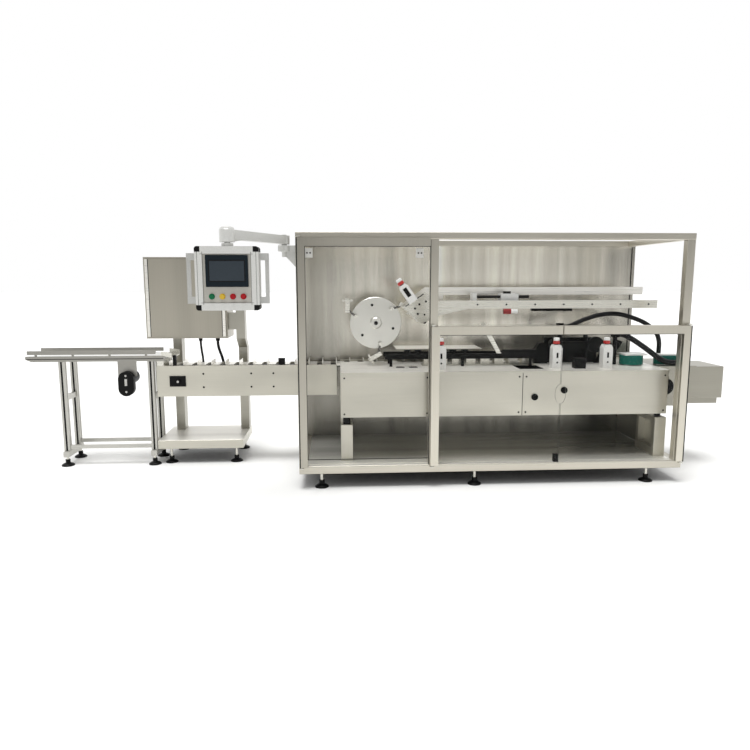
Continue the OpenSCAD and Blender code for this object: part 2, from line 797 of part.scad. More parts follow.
// Suction arms: post, slanted rod, head block, cross plate and cup
module rotor_arms() {
    place() color([0.75, 0.75, 0.74])
        for (a = arm_deg)
            translate([rotor_x, disc_y, rotor_z]) rotate([0, -a, 0]) translate([post_ring, 0, 0]) {
                rotate([90, 0, 0]) cylinder(r = post_r, h = post_len);
                translate([0, -post_len + 14, 0]) rotate([0, -rod_turn, 0])
                    rotate([0, 90, 0]) cylinder(r = rod_r, h = rod_len);
                translate([rod_len * cos(rod_turn), -post_len + 14, rod_len * sin(rod_turn)])
                    rotate([0, -head_turn, 0]) {
                        translate([-24, -12, -14]) cube([76, 24, 28]);
                        translate([48, -13, -34]) cube([12, 27, 68]);
                        translate([58, 0, 0]) rotate([0, 90, 0]) cylinder(r = 13, h = 12);
                    }
            }
}

// Two magazine plates, each with its inclined outlet
module magazine_plates() {
    tip = [rotor_x + 171, rotor_z + 108];
    toe = [rotor_x + 291, rotor_z - 2];
    ramp = mag_x0 + 205;
    back_x = mag_x0 + 75;
    top_a = mag_z + mag_h;
    top_b = mag_low + mag_h;
    place() color([0.78, 0.77, 0.74]) {
        plate_xz(mag_y0, mag_t, [tip, toe, [mag_x0, mag_z - 46], [mag_x0, top_a],
            [rotor_x + 310, top_a + 56]]);
        plate_xz(mag_y0, mag_t, [[mag_x0 + weld, mag_z - 46], [ramp, mag_z], [ramp, top_a],
            [mag_x0 + weld, top_a]]);
        span([ramp + weld, mag_y0, mag_z], [mag_x1, mag_y0 + mag_t, top_a]);
        span([ramp + weld, mag_y0 + mag_t + weld, top_a - 4], [mag_x1, mag_y0 + mag_t + 16, top_a]);
        plate_xz(mag_y1, mag_t, [tip, toe, [back_x, mag_low - 55], [back_x, top_b],
            [rotor_x + 341, top_b]]);
        span([back_x + weld, mag_y1, mag_low], [mag_x1, mag_y1 + mag_t, top_b]);
    }
}

// Round bars that carry the magazine from the wall
module magazine_bars() {
    place() color([0.7, 0.7, 0.68])
        for (x = bar_xs) {
            bar_y([x, mag_y0 + mag_t, mag_z + mag_h / 2], bar_r, wall_y - mag_y0 - mag_t);
            bar_y([x, mag_y1 + mag_t, mag_low + mag_h / 2], bar_r, wall_y - mag_y1 - mag_t);
        }
}

// Strips of the magazine's deck
module magazine_deck() {
    step = (mag_room - 60) / 2;
    dz = mag_z + mag_h / 2 + bar_r;
    place() color([0.1, 0.1, 0.1])
        for (i = [0 : 2])
            span([mag_x0 + (i == 1 ? 215 : 275), mag_y0 + mag_t + 10 + i * step, dz],
                [mag_x1 - 50, mag_y0 + mag_t + 50 + i * step, dz + deck_t]);
}

// Roller at the outlet's toe and the bracket bar under the deck's bars
module magazine_roller() {
    place() color([0.06, 0.06, 0.06]) {
        bar_y([rotor_x + 313, mag_y0 + mag_t, rotor_z + 10], 11, mag_room);
        span([bar_xs[1] - 110, mag_y0 + 60, mag_z - 20],
            [bar_xs[1] + 160, mag_y0 + 96, mag_z + mag_h / 2 - bar_r]);
    }
}

// Pusher carriage on the deck: block, spring rod and end block
module magazine_carriage() {
    cx = mag_x0 + 247;
    cy = mag_y0 + mag_t + mag_room / 2;
    cz = mag_z + mag_h / 2 + bar_r + deck_t;
    place() color([0.9, 0.9, 0.88]) {
        span([cx, cy - 40, cz], [cx + 28, cy + 40, cz + 52]);
        for (y = [cy - 22, cy + 22])
            bar_x([cx + 28 + weld, y, cz + 26], 9, 162 - 2 * weld);
        span([cx + 190, cy - 45, cz], [cx + 306, cy + 45, cz + 46]);
        span([cx + 215, cy - 14, cz + 46 + weld], [cx + 262, cy + 14, cz + 62]);
        bar_x([cx + 306 + weld, cy, cz + 26], 10, 81);
    }
}

// Size adjusters on the bed and the leaning one on the magazine's outlet
module adjuster_towers() {
    place() color([0.92, 0.92, 0.9]) {
        for (x = tower_xs)
            translate([x, tower_y + tower_d / 2, bed_top]) tower(tower_w, tower_d, tower_h);
        translate([rotor_x + 234, mag_y0 - lean_d / 2, mag_z + 47]) rotate([0, -slope, 0])
            tower(lean_w, lean_d, lean_h);
    }
}

// Knobs of the adjusters and the damper under the magazine
module adjuster_knobs() {
    place() color([0.8, 0.1, 0.1]) {
        for (x = tower_xs)
            translate([x, tower_y + tower_d / 2, bed_top + tower_h]) knob(1);
        translate([rotor_x + 234, mag_y0 - lean_d / 2, mag_z + 47]) rotate([0, -slope, 0])
            translate([0, 0, lean_h]) knob(1);
        bar_x([mag_x0 + 437, mag_y0 + mag_t / 2, mag_z - 18], 18, 48);
        bar_x([mag_x0 + 485, mag_y0 + mag_t / 2, mag_z - 18], 14, 44);
    }
}

// Guide rails of the carton lane on their posts, with clamp knobs
module carton_rails() {
    place() color([0.06, 0.06, 0.06]) {
        for (y = [lane_y0, lane_y1]) {
            span([lane_x0, y, rail_z], [lane_x1, y + rail_w, rail_z + rail_h]);
            for (x = [lane_x0 + 30, (lane_x0 + lane_x1) / 2, lane_x1 - 50])
                span([x, y + 2, bed_top], [x + 18, y + rail_w - 2, rail_z - weld]);
        }
        for (x = [lane_x0 + 149, lane_x0 + 218, lane_x0 + 449, lane_x0 + 527])
            translate([x, lane_y0 + rail_w / 2, rail_z + rail_h + weld]) {
                cylinder(r = 8, h = 13);
                translate([0, 0, 12]) linear_extrude(16) star(23);
            }
        span([seam_b - 70, lane_y0, rail_z + rail_h + weld],
            [lane_x1, lane_y0 + rail_w, rail_z + rail_h + 26]);
    }
}

// Lugs of the carton chain on their slide
module carton_lugs() {
    x0 = rotor_x + 306;
    count = floor((lane_x1 - x0 - 80) / flight_pitch);
    place() color([0.85, 0.85, 0.83]) {
        span([x0, lane_y0 + 45, bed_top], [lane_x1, lane_y0 + 130, bed_top + 8]);
        for (i = [0 : count])
            translate([x0 + 12 + i * flight_pitch, lane_y0 + 50, bed_top + 8 + weld])
                cube([62, 75, rail_up + 4]);
    }
}

// Slanted flat bar that opens the cartons
module opening_arm() {
    ax = seam_b - 106;
    az = rail_z + rail_h;
    place() color([0.82, 0.82, 0.8])
        plate_xz(lane_y0 + 5, 8, [[ax - 114, az + 196], [ax - 84, az + 204], [ax + 30, az], [ax, az]]);
}

// Closing and tucking unit: columns, cross block, cams and slanted ploughs
module closing_unit() {
    cy = lane_y0 + 95;
    place() color([0.15, 0.15, 0.15]) {
        for (x = [close_x + 44, close_x + 224])
            bar_z([x, cy, bed_top], 16, 240);
        span([close_x + 10, cy - 20, bed_top + 100], [close_x + 300, cy + 20, bed_top + 150]);
        bar_y([close_x + 284, cy - 42, bed_top + 131], 54, 23);
        bar_y([close_x - 4, cy - 44, bed_top + 138], 34, 30);
        span([close_x - 4, cy - 15, bed_top + 125], [close_x + 20, cy + 9, bed_top + 145]);
        plate_xz(cy - 34, 12, [[close_x + 320, bed_top], [close_x + 380, bed_top],
            [close_x + 470, bed_top + 150], [close_x + 430, bed_top + 165]]);
        plate_xz(cy + 20, 12, [[close_x + 300, bed_top], [close_x + 350, bed_top],
            [close_x + 420, bed_top + 130], [close_x + 380, bed_top + 150]]);
        span([close_x + 64, tower_y - 10, bed_top], [close_x + 134, tower_y + 50, bed_top + 66]);
        span([close_x - 40, cy + 60, bed_top], [close_x + 330, cy + 72, bed_top + 172]);
        plate_xz(cy + 10, 48, [[close_x - 120, bed_top], [close_x - 30, bed_top],
            [close_x - 30, bed_top + 110],
            [close_x - 60, bed_top + 140], [close_x - 90, bed_top + 140], [close_x - 120, bed_top + 90]]);
    }
}

// Sockets and glands that the hoses and leads run between
module hose_fittings() {
    cy = lane_y0 + 95;
    place() color([0.06, 0.06, 0.06]) {
        span([close_x + 24, cy - 20, bed_top + 240], [close_x + 64, cy + 20, bed_top + 274]);
        bar_z([close_x + 404, cy - 60, bed_top], 14, 184);
        span([close_x + 384, cy - 82, bed_top + 183], [close_x + 424, cy - 38, bed_top + 223]);
        bar_z([bed_x1 + 101, cy, bed_top], 20, 60);
        span([bed_x1 + 164, cy - 184, bed_top], [bed_x1 + 200, cy - 138, bed_top + 44]);
        for (p = [[box_x0 + 371, box_y + 30, 13], [box_x0 + 491, box_y + 40, 15]])
            bar_z([p[0], p[1], box_z - 20], p[2], 20);
        for (p = [[infeed_x0 + 267, 10, lead_z, 13], [infeed_x0 + 415, 12, lead_z + 2, 15]])
            bar_y([p[0], infeed_y1, p[2]], p[3], p[1]);
    }
}

// Air hose in a high arch over the closing unit
module hose_arch() {
    place() color([0.05, 0.05, 0.05])
        translate([bed_x1, lane_y0, bed_top]) hose(arch_route, arch_r, [0, 1, 0]);
}

// Air hose that drops to the discharge
module hose_drop() {
    place() color([0.05, 0.05, 0.05])
        translate([bed_x1, lane_y0, bed_top]) hose(drop_route, drop_r, [0, 1, 0]);
}

// Leads from the control box to the infeed
module lead_a() {
    place() color([0.08, 0.08, 0.08])
        translate([infeed_x0, infeed_y1, lead_z]) hose(hung(lead_a_route), lead_r, [1, 0, 0]);
}

module lead_b() {
    place() color([0.08, 0.08, 0.08])
        translate([infeed_x0, infeed_y1, lead_z]) hose(hung(lead_b_route), lead_b_r, [1, 0, 0]);
}

// Upright belts that press the cartons
module side_belts() {
    place() color([0.05, 0.35, 0.3]) {
        drum_pair([belt_a, lane_y0 + 5, bed_top + 6], 150, drum_r, side_h);
        drum_pair([belt_b, lane_y0 + 5, bed_top + 6], 240, drum_r / 2, side_h - 4);
    }
}

// Bearing plates under and over the side belts
module side_belt_plates() {
    place() color([0.85, 0.85, 0.84]) {
        span([belt_a + 20, lane_y0 - 45, bed_top], [belt_a + 130, lane_y0 + 55, bed_top + 6]);
        span([belt_a + 8, lane_y0 - 55, bed_top + 6 + side_h],
            [belt_a + 158, lane_y0 + 65, bed_top + 16 + side_h]);
        span([belt_b + 10, lane_y0 - 25, bed_top], [belt_b + 230, lane_y0 + 35, bed_top + 6]);
        span([belt_b - 2, lane_y0 - 28, bed_top + 2 + side_h],
            [belt_b + 242, lane_y0 + 38, bed_top + 10 + side_h]);
    }
}

// Deck, side plate and rails that reach out of the cabinet to the guard
module discharge_frame() {
    place() color([0.74, 0.73, 0.7]) {
        span([bed_x1, lane_y0 - 85 + weld, bed_top - 12], [guard_x0, guard_y1, bed_top]);
        for (y = [guard_y0 + 20, guard_y1 - 50])
            span([bed_x1, y, guard_z0 - 40], [guard_x1 - 20, y + 30, guard_z0]);
        difference() {
            span([bed_x1, lane_y0 - 95, bed_z0 + 20], [bed_x1 + 134, lane_y0 - 85, bed_top]);
            bar_y([bed_x1, lane_y0 - 96, bed_z0 + 180], 90, 12);
        }
    }
}

// Guard box over the discharge's drive
module discharge_guard() {
    place() color([0.76, 0.75, 0.72])
        tube_x([guard_x0, guard_y0, guard_z0], guard_len, guard_d, guard_h);
}

// Hinge plates with pins for the three doors
module door_pivots() {
    place() color([0.6, 0.6, 0.6]) {
        pivots(left_x0 + hinge_inset, left_top);
        pivots(mid_x0 + hinge_inset, low_top);
        pivots(right_x1 - hinge_inset, low_top);
    }
}

// Top and bottom hinge plate of one door
module pivots(x, z1) {
    span([x - 12, door_y0 + 2, z1 + pivot_air], [x + 12, 0, z1 + pivot_air + pivot_t]);
    bar_z([x, door_mid_y, z1 - pin_reach], pin_r, pin_reach + pivot_air + 1);
    span([x - 12, door_y0 + 2, door_z0 - 6 - pivot_t], [x + 12, 0, door_z0 - 6]);
    bar_z([x, door_mid_y, door_z0 - 7], pin_r, pin_reach + 7);
}

// Stile and top rail of one door, bored for its pins
module door_frame(x0, x1, z1, left) {
    s0 = left ? x0 : x1 - stile;
    hx = left ? x0 + hinge_inset : x1 - hinge_inset;
    difference() {
        union() {
            span([s0, door_y0, door_z0], [s0 + stile, -door_air, z1]);
            span([x0, door_y0, z1 - stile], [x1, -door_air, z1]);
        }
        bar_z([hx, door_mid_y, door_z0 - 1], pin_r + run_gap, pin_reach + 6);
        bar_z([hx, door_mid_y, z1 - pin_reach - 4], pin_r + run_gap, pin_reach + 5);
    }
}

// Clear pane of one door, with half of the finger eye on its free edge
module door_pane(x0, x1, z1, left, eye) {
    p0 = left ? x0 + stile : x0;
    p1 = left ? x1 : x1 - stile;
    ex = left ? x1 : x0;
    difference() {
        span([p0, door_mid_y - pane_t / 2, door_z0], [p1, door_mid_y + pane_t / 2, z1 - stile]);
        if (eye)
            translate([ex, door_mid_y, eye_z]) scale([eye_w / eye_h, 1, 1])
                rotate([90, 0, 0]) cylinder(r = eye_h, h = 4 * pane_t, center = true);
    }
}

module left_door_frame() {
    place() color([0.72, 0.7, 0.66]) door_frame(left_x0, left_x1, left_top, true);
}

module left_door_pane() {
    place() color([0.9, 0.95, 0.95, 0.3]) door_pane(left_x0, left_x1, left_top, true, false);
}

// Two white clips at the upper corners of the left pane
module left_door_clips() {
    place() color([0.95, 0.95, 0.95])
        for (x = [left_x0 + stile + 3, left_x1 - 86])
            translate([x, door_mid_y - pane_t / 2 - 4, left_top - stile - 66]) cube([44, 4, 54]);
}

module middle_door_frame() {
    place() color([0.72, 0.7, 0.66]) door_frame(mid_x0, mid_x1, low_top, true);
}

module middle_door_pane() {
    place() color([0.9, 0.95, 0.95, 0.3]) door_pane(mid_x0, mid_x1, low_top, true, true);
}

module right_door_frame() {
    place() color([0.72, 0.7, 0.66]) door_frame(right_x0, right_x1, low_top, false);
}

module right_door_pane() {
    place() color([0.9, 0.95, 0.95, 0.3]) door_pane(right_x0, right_x1, low_top, false, true);
}

// Bracket on the left post with the arm's pin and the clamp knob
module hmi_bracket() {
    place() color([0.86, 0.86, 0.86]) {
        span([pivot_x - 35, pivot_y - 12, hmi_z - 40], [0, pivot_y + 12, hmi_z - 6]);
        plate_xz(pivot_y - 5, 10, [[0, hmi_z - 130], [0, hmi_z - 39], [pivot_x - 20, hmi_z - 39]]);
        bar_z([pivot_x, pivot_y, hmi_z - 40], 34, 34);
        bar_z([pivot_x, pivot_y, hmi_z - 7], hmi_pin, hmi_tube + 12);
        bar_z([pivot_x, pivot_y, hmi_z - 72], 14, 33);
    }
}

// Swing arm: box tube, pivot boss, domed head and a gusset under the head's end
module hmi_arm() {
    place() color([0.86, 0.86, 0.86])
        difference() {
            union() {
                translate([pivot_x, pivot_y, hmi_z]) rotate([0, 0, hmi_dir]) {
                    span([hmi_pin + 4, -hmi_tube / 2, 1],
                        [hmi_reach - hmi_pin - 4, hmi_tube / 2, hmi_tube - 1]);
                    plate_xz(-16, 32, [[hmi_reach - 110, 2], [hmi_reach - hmi_pin - 6, -13],
                        [hmi_reach - hmi_pin - 6, 2]]);
                }
                bar_z([pivot_x, pivot_y, hmi_z], 32, hmi_tube);
                translate([head_x, head_y, hmi_z]) rotate_extrude() polygon([[0, -14], [head_r, -14],
                    [head_r, hmi_tube - 2], [head_r - 3, hmi_tube + 2], [head_r - 3, hmi_tube + 6],
                    [head_r - 14, hmi_tube + 14], [0, hmi_tube + 17]]);
            }
            bar_z([pivot_x, pivot_y, hmi_z - 1], hmi_pin + run_gap, hmi_tube + 7);
            bar_z([head_x, head_y, hmi_z - 15], hmi_pin + run_gap, hmi_tube + 6);
        }
}

// Panel box: back tray, raised rim with open corners, neck and pin
module hmi_box() {
    c = hmi_rim - 12;
    place() color([0.85, 0.86, 0.86]) {
        difference() {
            span([head_x - hmi_w / 2, hmi_front, hmi_low],
                [head_x + hmi_w / 2, hmi_front + hmi_d, hmi_top]);
            span([head_x - hmi_w / 2 + hmi_rim, hmi_front - 1, hmi_low + hmi_rim],
                [head_x + hmi_w / 2 - hmi_rim, face_y, hmi_top - hmi_rim]);
            for (x = [head_x - hmi_w / 2 - 1, head_x + hmi_w / 2 - c])
                for (z = [hmi_low - 1, hmi_top - c])
                    translate([x, hmi_front - 1, z]) cube([c + 1, hmi_d + 2, c + 1]);
        }
        bar_z([head_x, head_y, hmi_top - 1], 30, hmi_z - hmi_top - 19);
        bar_z([head_x, head_y, hmi_z - 22], hmi_pin, hmi_tube + 8);
    }
}

// Corner caps of the panel box
module hmi_corners() {
    c = hmi_rim - 12;
    r = 14;
    place() color([0.05, 0.05, 0.05])
        for (sx = [-1, 1])
            for (sz = [-1, 1])
                translate([head_x + sx * (hmi_w / 2 - c), hmi_front + hmi_d,
                    hmi_mid + sz * (hmi_h / 2 - c)]) rotate([90, 0, 0]) linear_extrude(hmi_d) scale([sx, sz]) {
                        square([c - r, c]);
                        square([c, c - r]);
                        translate([c - r, c - r]) circle(r = r);
                    }
}

// Touch terminal in the panel's recess
module hmi_terminal() {
    z1 = hmi_top - hmi_rim - 4;
    place() color([0.1, 0.12, 0.13])
        tube_y([head_x - term_w / 2, face_y - 7, z1 - term_h], 7, term_w, term_h);
}

// Four push buttons with their collars
module hmi_buttons() {
    place() color([0.2, 0.6, 0.2])
        for (i = [-1.5 : 1 : 1.5]) {
            bar_y([head_x + i * 53, face_y - button_h, hmi_low + 71], 12, button_h);
            bar_y([head_x + i * 53, face_y - 6, hmi_low + 71], 15, 6);
        }
}

// Two bail handles on the panel's sides, each with two end blocks and a grip
module hmi_handles() {
    grip = 18;
    place() color([0.8, 0.8, 0.8])
        for (s = [-1, 1])
            translate([head_x + s * hmi_w / 2, hmi_front + 30, 0]) {
                for (z = [hmi_low + 34, hmi_top - 69])
                    translate([s > 0 ? 0 : -47, 0, z]) cube([47, grip + 4, 35]);
                translate([s > 0 ? 47 - grip : -47, 2, hmi_low + 60]) cube([grip, grip, hmi_h - 120]);
            }
}

frame_rails();
frame_ties();
frame_posts();
levelling_feet();
base_tray();
back_wall();
rear_housing();
bed_housing();
bed_covers();
bed_pillars();
bed_adjusters();
infeed_trough();
infeed_chain();
infeed_switch();
stand_base();
stand_uprights();
control_box();
belt_frames();
belt_loop();
belt_legs();
belt_drive();
transfer_chute();
rotor_bearing();
rotor_disc();
rotor_arms();
magazine_plates();
magazine_bars();
magazine_deck();
magazine_roller();
magazine_carriage();
adjuster_towers();
adjuster_knobs();
carton_rails();
carton_lugs();
opening_arm();
closing_unit();
hose_fittings();
hose_arch();
hose_drop();
lead_a();
lead_b();
side_belts();
side_belt_plates();
discharge_frame();
discharge_guard();
door_pivots();
left_door_frame();
left_door_pane();
left_door_clips();
middle_door_frame();
middle_door_pane();
right_door_frame();
right_door_pane();
hmi_bracket();
hmi_arm();
hmi_box();
hmi_corners();
hmi_terminal();
hmi_buttons();
hmi_handles();
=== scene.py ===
import math

import bpy
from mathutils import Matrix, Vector


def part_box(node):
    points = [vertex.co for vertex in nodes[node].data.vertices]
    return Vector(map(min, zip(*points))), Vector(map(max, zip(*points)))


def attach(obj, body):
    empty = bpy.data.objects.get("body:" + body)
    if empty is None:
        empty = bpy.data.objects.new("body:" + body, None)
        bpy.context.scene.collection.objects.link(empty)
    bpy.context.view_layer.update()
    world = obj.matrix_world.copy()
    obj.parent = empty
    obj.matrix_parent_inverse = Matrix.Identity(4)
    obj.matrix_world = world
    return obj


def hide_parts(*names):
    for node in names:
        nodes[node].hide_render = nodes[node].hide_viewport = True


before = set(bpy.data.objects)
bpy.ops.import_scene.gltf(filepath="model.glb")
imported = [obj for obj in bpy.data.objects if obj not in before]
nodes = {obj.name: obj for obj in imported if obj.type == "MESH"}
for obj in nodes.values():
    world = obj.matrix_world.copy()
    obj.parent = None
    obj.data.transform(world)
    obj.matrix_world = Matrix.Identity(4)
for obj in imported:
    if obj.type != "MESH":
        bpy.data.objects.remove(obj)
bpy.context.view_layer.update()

# Places are in millimetres of the cabinet's own frame, as in the part's source. Its zero is the cabinet's
# front left corner on the floor. ORIGIN is the part's origin there, in metres.
ORIGIN = Vector((0.499, 0.2926945, 0.0))
MM = 1000


def at(x, y, z):
    """A point of the cabinet's frame in the part's frame."""
    return Vector((x, y, z)) / MM - ORIGIN


def low(node):
    return (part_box(node)[0] + ORIGIN) * MM


def high(node):
    return (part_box(node)[1] + ORIGIN) * MM


# Camera, solved on the frame's edges in the photograph
CAMERA_AT = at(242, -3818, 1267)
PITCH_DOWN = 8.41
YAW_RIGHT = 3.33
ROLL = 0.05
LENS = 30.81
SENSOR = 36


def make_camera():
    data = bpy.data.cameras.new("camera")
    data.lens = LENS
    data.sensor_width = SENSOR
    data.clip_end = 100
    camera = bpy.data.objects.new("camera", data)
    camera.location = CAMERA_AT
    camera.rotation_euler = (math.radians(90 - PITCH_DOWN), math.radians(ROLL), math.radians(-YAW_RIGHT))
    bpy.context.scene.collection.objects.link(camera)
    bpy.context.scene.camera = camera


# Nodes of the materials
NOISE_LOW, NOISE_HIGH = 0.3, 0.7
GRAIN = (220, 220, 220)
BRUSH_LONG = 3
BRUSH_FINE = 400


def new_material(name):
    made = bpy.data.materials.new(name)
    made.use_nodes = True
    return made, made.node_tree, made.node_tree.nodes["Principled BSDF"]


def ranged(tree, value, start, end, first, last):
    made = tree.nodes.new("ShaderNodeMapRange")
    for key, number in (("From Min", start), ("From Max", end), ("To Min", first), ("To Max", last)):
        made.inputs[key].default_value = number
    tree.links.new(value, made.inputs["Value"])
    return made.outputs["Result"]


def varied(tree, noise, middle, spread):
    """The noise as a number round a middle value."""
    return ranged(tree, noise, NOISE_LOW, NOISE_HIGH, middle - spread, middle + spread)


def axes_of(tree, coordinate):
    coords = tree.nodes.new("ShaderNodeTexCoord")
    axes = tree.nodes.new("ShaderNodeSeparateXYZ")
    tree.links.new(coords.outputs[coordinate], axes.inputs["Vector"])
    return axes.outputs


def product(tree, a, b):
    made = tree.nodes.new("ShaderNodeMath")
    made.operation = "MULTIPLY"
    tree.links.new(a, made.inputs[0])
    tree.links.new(b, made.inputs[1])
    return made.outputs["Value"]


def grain(tree, scale):
    """Noise in the object's own frame, stretched by the scale along each axis."""
    coords = tree.nodes.new("ShaderNodeTexCoord")
    stretch = tree.nodes.new("ShaderNodeMapping")
    stretch.inputs["Scale"].default_value = scale
    noise = tree.nodes.new("ShaderNodeTexNoise")
    noise.inputs["Scale"].default_value = 1.0
    noise.inputs["Detail"].default_value = 1.5
    tree.links.new(coords.outputs["Object"], stretch.inputs["Vector"])
    tree.links.new(stretch.outputs["Vector"], noise.inputs["Vector"])
    return noise.outputs["Fac"]


def tinted(tree, shader, colour, value):
    tint = tree.nodes.new("ShaderNodeVectorMath")
    tint.operation = "SCALE"
    tint.inputs[0].default_value = colour
    tree.links.new(value, tint.inputs["Scale"])
    tree.links.new(tint.outputs["Vector"], shader.inputs["Base Color"])


def plain(name, colour, rough=0.5, metal=0.0, alpha=1.0, shine=0.5):
    """Moulded plastic, paint or rubber: a fine grain in its colour, gloss and relief."""
    made, tree, shader = new_material(name)
    fine = grain(tree, GRAIN)
    tinted(tree, shader, colour, varied(tree, fine, 1, 0.05))
    tree.links.new(varied(tree, fine, rough, 0.04), shader.inputs["Roughness"])
    relief = tree.nodes.new("ShaderNodeBump")
    relief.inputs["Strength"].default_value = 0.06
    relief.inputs["Distance"].default_value = 0.001
    tree.links.new(fine, relief.inputs["Height"])
    tree.links.new(relief.outputs["Normal"], shader.inputs["Normal"])
    shader.inputs["Metallic"].default_value = metal
    shader.inputs["Alpha"].default_value = alpha
    shader.inputs["Specular IOR Level"].default_value = shine
    return made


def steel(name, colour, rough, metal, bands, depth, shade=()):
    """Brushed steel: soft bands of painted light stretched along one axis, fine brush marks along them, and
    painted light and shade between two places on an axis, in metres of the part's frame."""
    made, tree, shader = new_material(name)
    brush = grain(tree, [BRUSH_LONG if band == min(bands) else BRUSH_FINE for band in bands])
    value = product(tree, varied(tree, grain(tree, bands), 1, depth), varied(tree, brush, 1, 0.03))
    if shade:
        axes = axes_of(tree, "Object")
        for axis, start, end, first, last in shade:
            value = product(tree, value, ranged(tree, axes[axis], start, end, first, last))
    tinted(tree, shader, colour, value)
    tree.links.new(varied(tree, brush, rough, 0.03), shader.inputs["Roughness"])
    shader.inputs["Metallic"].default_value = metal
    return made


# Steels and alloys
BEIGE = (0.58, 0.55, 0.475)
UPRIGHT = (7, 7, 0.25)
LEVEL = (0.6, 9, 9)
# Painted light and shade as (axis, from, to, factor at from, factor at to): the wall darker low down, at the
# left and at the right end; the posts brighter low down and darker at the left post; the tray bright at its
# front and dark at its back
WALL_PAINTED_SHADING = [("Z", 0.42, 0.72, 0.85, 0.95), ("Z", 0.72, 1.20, 0.70, 1.25), ("X", -0.45, 0.45, 0.68, 1.3),
              ("X", 0.7, 1.85, 1.0, 0.60)]
POST_PAINTED_SHADING = [("Z", 0.15, 1.2, 1.10, 0.92), ("X", -0.46, -0.20, 0.74, 1.0)]
TRAY_PAINTED_SHADING = [("Y", -0.24, 0.05, 1.3, 0.5)]

frame_steel = steel("frame_steel", BEIGE, 0.32, 0.88, (1.5, 1.5, 1), 0.08, POST_PAINTED_SHADING)
rail_steel = steel("rail_steel", BEIGE, 0.32, 0.88, (1, 1.5, 1.5), 0.08)
wall_steel = steel("wall_steel", (0.61, 0.585, 0.515), 0.24, 0.85, (12, 12, 0.3), 0.24, WALL_PAINTED_SHADING)
rear_steel = steel("rear_steel", (0.60, 0.58, 0.515), 0.32, 0.8, UPRIGHT, 0.06)
sheet_steel = steel("sheet_steel", (0.545, 0.525, 0.455), 0.32, 0.75, (1.6, 9, 5), 0.10)
# Painted light: a pale copy of the sheet steel for tops lit from above
painted_lit_top = steel("painted_lit_top", (0.86, 0.84, 0.78), 0.4, 0.45, LEVEL, 0.06)
tray_steel = steel("tray_steel", (0.74, 0.73, 0.67), 0.2, 0.5, LEVEL, 0.12, TRAY_PAINTED_SHADING)
box_steel = steel("box_steel", (0.41, 0.385, 0.325), 0.34, 0.75, UPRIGHT, 0.07)
bright_steel = steel("bright_steel", (0.70, 0.685, 0.62), 0.28, 0.8, LEVEL, 0.03)
pale_steel = steel("pale_steel", (0.90, 0.88, 0.82), 0.3, 0.7, LEVEL, 0.03)
disc_steel = steel("disc_steel", (0.66, 0.65, 0.60), 0.30, 0.8, (4, 4, 4), 0.06)
alloy = steel("alloy", (0.34, 0.33, 0.30), 0.36, 0.7, LEVEL, 0.05)
leg_alloy = steel("leg_alloy", (0.54, 0.53, 0.49), 0.36, 0.6, UPRIGHT, 0.05)
upright_steel = steel("upright_steel", (0.39, 0.375, 0.325), 0.32, 0.75, LEVEL, 0.06)
guard_steel = steel("guard_steel", (0.36, 0.345, 0.295), 0.36, 0.7, LEVEL, 0.05)

# Paints, plastics and rubber
pale_alloy = plain("pale_alloy", (0.66, 0.66, 0.635), 0.36, 0.2)
handle_alloy = plain("handle_alloy", (0.52, 0.52, 0.50), 0.34, 0.4)
rim_line = plain("rim_line", (0.14, 0.14, 0.13), 0.5, shine=0.2)
panel_face = plain("panel_face", (0.48, 0.465, 0.42), 0.4, 0.4)
clip_grey = plain("clip_grey", (0.56, 0.55, 0.52), 0.45)
black = plain("black", (0.006, 0.006, 0.006), 0.4, shine=0.12)
dark_steel = plain("dark_steel", (0.02, 0.019, 0.018), 0.35, 0.3, shine=0.2)
rubber = plain("rubber", (0.006, 0.006, 0.007), 0.42, shine=0.25)
seal_and_gap_shade = plain("seal_and_gap_shade", (0.03, 0.03, 0.028), 0.6, shine=0.1)
white = plain("white", (0.80, 0.80, 0.78), 0.35)
red = plain("red", (0.50, 0.022, 0.018), 0.3)
dark_red = plain("dark_red", (0.26, 0.020, 0.018), 0.35)
green_belt = plain("green_belt", (0.010, 0.135, 0.105), 0.5, shine=0.2)
slate = plain("slate", (0.010, 0.016, 0.021), 0.3, shine=0.1)
screen_grey = plain("screen_grey", (0.040, 0.050, 0.060), 0.15, shine=0.15)
screen_rim = plain("screen_rim", (0.004, 0.005, 0.006), 0.3, shine=0.2)
button_green = plain("button_green", (0.004, 0.13, 0.05), 0.2, shine=0.25)
button_yellow = plain("button_yellow", (0.60, 0.40, 0.04), 0.2, shine=0.25)
button_red = plain("button_red", (0.34, 0.006, 0.010), 0.2, shine=0.25)
pane = plain("pane", (0.25, 0.27, 0.26), 0.08, 0.0, 0.012, 0.2)
pane_edge = plain("pane_edge", (0.55, 0.60, 0.58), 0.2, 0.0, 0.4)
pane_line = plain("pane_line", (0.05, 0.055, 0.05), 0.3, 0.0, 0.85, 0.2)

